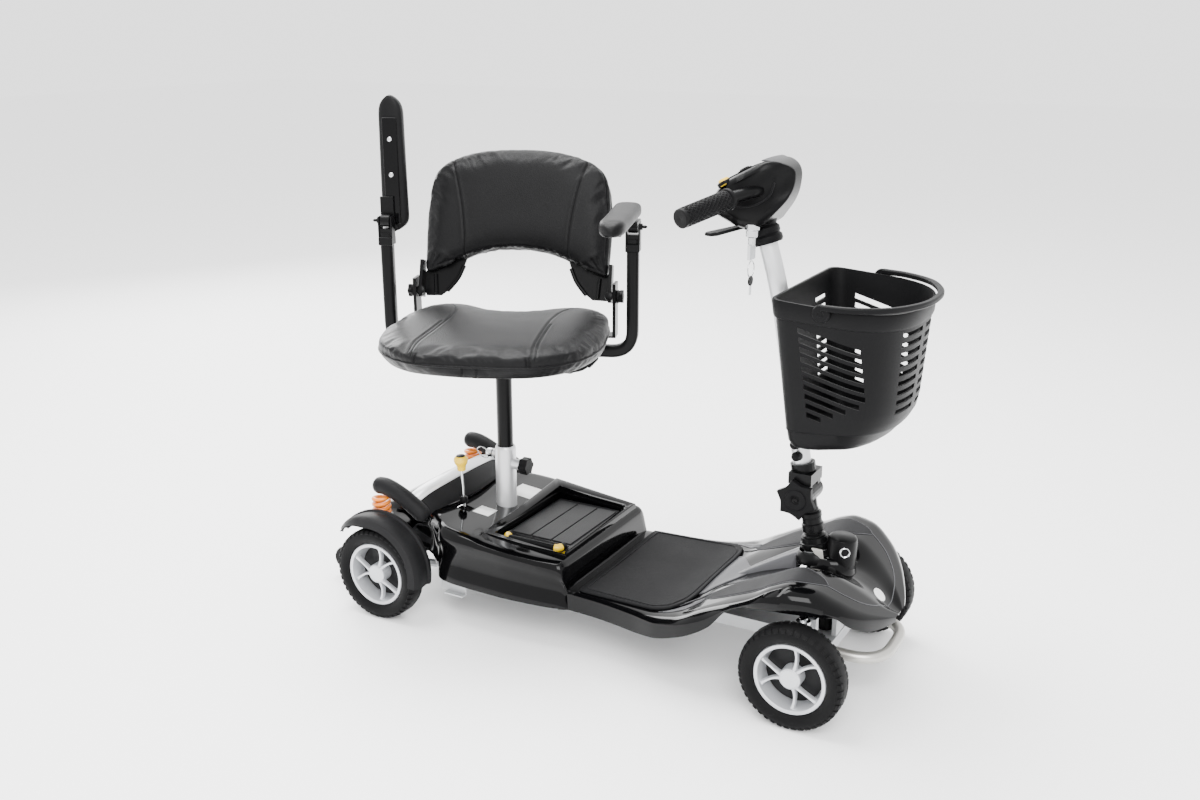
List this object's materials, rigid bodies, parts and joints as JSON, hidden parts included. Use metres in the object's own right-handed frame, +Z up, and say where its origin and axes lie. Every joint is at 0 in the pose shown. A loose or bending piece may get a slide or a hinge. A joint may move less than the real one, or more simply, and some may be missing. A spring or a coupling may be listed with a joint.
{
  "type": "mobility scooter",
  "caption": "Four-wheel boot scooter with a swivel seat, flip-up armrests, folding tiller, front basket and a drop-in battery between split body shells.",
  "frame": {"origin": "on the ground under the middle of the part's bounding box", "axes": "+X forward, +Y the rider's left, +Z up"},
  "size_m": [1.1444, 0.5218, 0.953],
  "materials": {
    "frame": "light grey powder coat",
    "silver": "satin silver",
    "steel": "bright plated steel",
    "blackMetal": "black powder coat",
    "gloss": "glossy black",
    "matte": "textured charcoal",
    "mat": "ribbed grey rubber",
    "tyre": "solid black tyre",
    "rim": "silver-grey",
    "vinyl": "black vinyl upholstery",
    "orange": "orange coil",
    "yellow": "yellow knob"
  },
  "bodies": {
    "chassis": {"frame": "frame", "bumper_loop": "silver", "spring_bridge": "matte", "rear_body": "gloss", "front_body": "gloss", "floor_mat": "mat", "seat_socket": "silver"},
    "anti_tip_left": {"anti_tip_wheel_left": "matte"},
    "anti_tip_right": {"anti_tip_wheel_right": "matte"},
    "rear_axle": {"transaxle": "blackMetal", "rear_fender_left": "matte", "rear_fender_right": "matte", "rear_spring_left": "orange", "rear_spring_right": "orange"},
    "rear_wheel_left": {"rear_tyre_left": "tyre", "rear_rim_left": "rim"},
    "rear_wheel_right": {"rear_tyre_right": "tyre", "rear_rim_right": "rim"},
    "front_carrier_left": {"kingpin_left": "steel", "front_spring_left": "steel"},
    "front_carrier_right": {"kingpin_right": "steel", "front_spring_right": "steel"},
    "front_knuckle_left": {"knuckle_left": "blackMetal"},
    "front_knuckle_right": {"knuckle_right": "blackMetal"},
    "front_wheel_left": {"front_tyre_left": "tyre", "front_rim_left": "rim"},
    "front_wheel_right": {"front_tyre_right": "tyre", "front_rim_right": "rim"},
    "steering": {"steering_stem": "blackMetal"},
    "track_rod": {"tie_rod": "steel"},
    "fold_lock": {"fold_lock_knob": "matte"},
    "tiller": {"fold_knuckle": "blackMetal", "tiller_tube": "silver", "console_housing": "gloss", "handlebar": "blackMetal", "grip_left": "matte", "grip_right": "matte"},
    "throttle": {"throttle_lever": "matte"},
    "horn": {"horn_button": "yellow"},
    "dial": {"speed_dial": "matte"},
    "key": {"ignition_key": "steel"},
    "hanging_key": {"spare_key": "steel"},
    "basket_body": {"basket": "matte"},
    "basket_bail": {"basket_handle": "matte"},
    "battery": {"battery_pack": "matte"},
    "battery_bail": {"battery_handle": "matte"},
    "post": {"seat_post": "blackMetal"},
    "clamp_knob": {"post_clamp_knob": "matte"},
    "lock_pin": {"post_lock_pin": "steel"},
    "freewheel": {"freewheel_lever": "yellow"},
    "seat": {"seat_base": "blackMetal", "seat_cushion": "vinyl"},
    "back": {"seat_back": "vinyl"},
    "arm_left": {"armrest_tube_left": "blackMetal"},
    "arm_right": {"armrest_tube_right": "blackMetal"},
    "pad_left": {"armrest_pad_left": "vinyl"},
    "pad_right": {"armrest_pad_right": "vinyl"},
    "arm_knob_left": {"armrest_knob_left": "matte"},
    "arm_knob_right": {"armrest_knob_right": "matte"},
    "lever": {"swivel_lever": "blackMetal"}
  },
  "joints": [
    {"name": "anti_tip_left_spin", "type": "hinge", "parent": "chassis", "child": "anti_tip_left", "pos_m": [-0.5487, 0.1188, 0.044], "axis": [0, 1, 0], "continuous": true},
    {"name": "anti_tip_right_spin", "type": "hinge", "parent": "chassis", "child": "anti_tip_right", "pos_m": [-0.5487, -0.1012, 0.044], "axis": [0, 1, 0], "continuous": true},
    {"name": "rear_axle_rock", "type": "hinge", "parent": "chassis", "child": "rear_axle", "pos_m": [-0.2717, 0.0088, 0.097], "axis": [0, 1, 0], "range_deg": [0, 4], "stiffness_Nm_per_rad": 600, "springref_deg": -8.59, "deforming": ["rear_spring_left", "rear_spring_right"]},
    {"name": "rear_wheel_left_spin", "type": "hinge", "parent": "rear_axle", "child": "rear_wheel_left", "pos_m": [-0.3837, 0.2108, 0.089], "axis": [0, 1, 0], "continuous": true},
    {"name": "front_left_travel", "type": "slide", "parent": "chassis", "child": "front_carrier_left", "axis": [0, 0, 1], "range_m": [0, 0.012], "stiffness_N_per_m": 9000, "springref_m": -0.02, "deforming": ["front_spring_left"]},
    {"name": "front_left_steer", "type": "hinge", "parent": "front_carrier_left", "child": "front_knuckle_left", "pos_m": [0.4353, 0.1568, 0.089], "axis": [0, 0, 1], "range_deg": [-33, 33]},
    {"name": "front_wheel_left_spin", "type": "hinge", "parent": "front_knuckle_left", "child": "front_wheel_left", "pos_m": [0.4353, 0.1958, 0.089], "axis": [0, 1, 0], "continuous": true},
    {"name": "rear_wheel_right_spin", "type": "hinge", "parent": "rear_axle", "child": "rear_wheel_right", "pos_m": [-0.3837, -0.1932, 0.089], "axis": [0, 1, 0], "continuous": true},
    {"name": "front_right_travel", "type": "slide", "parent": "chassis", "child": "front_carrier_right", "axis": [0, 0, 1], "range_m": [0, 0.012], "stiffness_N_per_m": 9000, "springref_m": -0.02, "deforming": ["front_spring_right"]},
    {"name": "front_right_steer", "type": "hinge", "parent": "front_carrier_right", "child": "front_knuckle_right", "pos_m": [0.4353, -0.1392, 0.089], "axis": [0, 0, 1], "range_deg": [-33, 33]},
    {"name": "front_wheel_right_spin", "type": "hinge", "parent": "front_knuckle_right", "child": "front_wheel_right", "pos_m": [0.4353, -0.1782, 0.089], "axis": [0, 1, 0], "continuous": true},
    {"name": "steering_turn", "type": "hinge", "parent": "chassis", "child": "steering", "pos_m": [0.3973, 0.0088, 0.243], "axis": [-0.1908, 0, 0.9816], "range_deg": [-40, 40]},
    {"name": "track_rod_turn", "type": "hinge", "parent": "steering", "child": "track_rod", "pos_m": [0.3833, 0.0088, 0.091], "axis": [-0.1908, 0, 0.9816], "range_deg": [-40, 40]},
    {"name": "fold_lock_turn", "type": "hinge", "parent": "steering", "child": "fold_lock", "pos_m": [0.3723, -0.0192, 0.324], "axis": [0, -1, 0], "range_deg": [-180, 180]},
    {"name": "tiller_fold", "type": "hinge", "parent": "steering", "child": "tiller", "pos_m": [0.3803, 0.0088, 0.328], "axis": [0, 1, 0], "range_deg": [-12, 0]},
    {"name": "throttle_turn", "type": "hinge", "parent": "tiller", "child": "throttle", "pos_m": [0.2503, 0.0088, 0.75], "axis": [0, 0, 1], "range_deg": [-18, 18], "stiffness_Nm_per_rad": 0.3},
    {"name": "horn_press", "type": "slide", "parent": "tiller", "child": "horn", "axis": [0.5101, 0, -0.8601], "range_m": [0, 0.003], "stiffness_N_per_m": 300, "springref_m": -0.002},
    {"name": "dial_turn", "type": "hinge", "parent": "tiller", "child": "dial", "pos_m": [0.2403, 0.0448, 0.838], "axis": [-0.5101, 0, 0.8601], "range_deg": [-140, 140]},
    {"name": "key_turn", "type": "hinge", "parent": "tiller", "child": "key", "pos_m": [0.2803, -0.0332, 0.75], "axis": [0, 0, 1], "range_deg": [0, 60]},
    {"name": "spare_key_swing", "type": "hinge", "parent": "tiller", "child": "hanging_key", "pos_m": [0.2803, -0.0332, 0.716], "axis": [1, 0, 0], "range_deg": [-30, 30]},
    {"name": "basket_lift", "type": "slide", "parent": "tiller", "child": "basket_body", "axis": [0, 0, 1], "range_m": [0, 0.06]},
    {"name": "basket_bail_swing", "type": "hinge", "parent": "basket_body", "child": "basket_bail", "pos_m": [0.4383, 0.0088, 0.674], "axis": [0, -1, 0], "range_deg": [0, 100]},
    {"name": "battery_lift", "type": "slide", "parent": "chassis", "child": "battery", "axis": [0, 0, 1], "range_m": [0, 0.08]},
    {"name": "battery_bail_fold", "type": "hinge", "parent": "battery", "child": "battery_bail", "pos_m": [-0.1067, -0.0792, 0.168], "axis": [-1, 0, 0], "range_deg": [0, 80]},
    {"name": "post_slide", "type": "slide", "parent": "chassis", "child": "post", "axis": [0, 0, 1], "range_m": [-0.05, 0.05]},
    {"name": "clamp_knob_turn", "type": "hinge", "parent": "chassis", "child": "clamp_knob", "pos_m": [-0.1921, 0.0088, 0.272], "axis": [1, 0, 0], "range_deg": [-180, 180]},
    {"name": "lock_pin_pull", "type": "slide", "parent": "chassis", "child": "lock_pin", "axis": [-1, 0, 0], "range_m": [0, 0.01], "stiffness_N_per_m": 500, "springref_m": -0.004},
    {"name": "freewheel_turn", "type": "hinge", "parent": "chassis", "child": "freewheel", "pos_m": [-0.2787, -0.0602, 0.176], "axis": [0, 1, 0], "range_deg": [-15, 0]},
    {"name": "seat_swivel", "type": "hinge", "parent": "post", "child": "seat", "pos_m": [-0.2284, 0.0088, 0.48], "axis": [0, 0, 1], "continuous": true},
    {"name": "back_fold", "type": "hinge", "parent": "seat", "child": "back", "pos_m": [-0.26691, 0.11291, 0.579], "axis": [0.9379, 0.3469, 0], "range_deg": [0, 100]},
    {"name": "arm_left_slide", "type": "slide", "parent": "seat", "child": "arm_left", "axis": [0.9379, 0.3469, 0], "range_m": [-0.006, 0.04]},
    {"name": "pad_left_fold", "type": "hinge", "parent": "arm_left", "child": "pad_left", "pos_m": [-0.02961, 0.15164, 0.722], "axis": [-0.9379, -0.3469, 0], "range_deg": [0, 95]},
    {"name": "arm_knob_left_turn", "type": "hinge", "parent": "seat", "child": "arm_knob_left", "pos_m": [-0.14685, 0.10827, 0.45], "axis": [0, 0, 1], "range_deg": [-180, 180]},
    {"name": "arm_right_slide", "type": "slide", "parent": "seat", "child": "arm_right", "axis": [-0.9379, -0.3469, 0], "range_m": [-0.006, 0.04]},
    {"name": "pad_right_fold", "type": "hinge", "parent": "arm_right", "child": "pad_right", "pos_m": [-0.47229, -0.01211, 0.722], "axis": [0.9379, 0.3469, 0], "range_deg": [0, 90]},
    {"name": "arm_knob_right_turn", "type": "hinge", "parent": "seat", "child": "arm_knob_right", "pos_m": [-0.35506, 0.03125, 0.45], "axis": [0, 0, 1], "range_deg": [-180, 180]},
    {"name": "swivel_lever_turn", "type": "hinge", "parent": "seat", "child": "lever", "pos_m": [-0.2284, 0.0088, 0.46], "axis": [0, 0, 1], "range_deg": [-8, 8], "stiffness_Nm_per_rad": 0.6}
  ],
  "couplings": [
    {"joint": "front_left_steer", "follows": "steering_turn", "ratio": 0.8},
    {"joint": "front_right_steer", "follows": "steering_turn", "ratio": 0.8},
    {"joint": "track_rod_turn", "follows": "steering_turn", "ratio": -1}
  ]
}
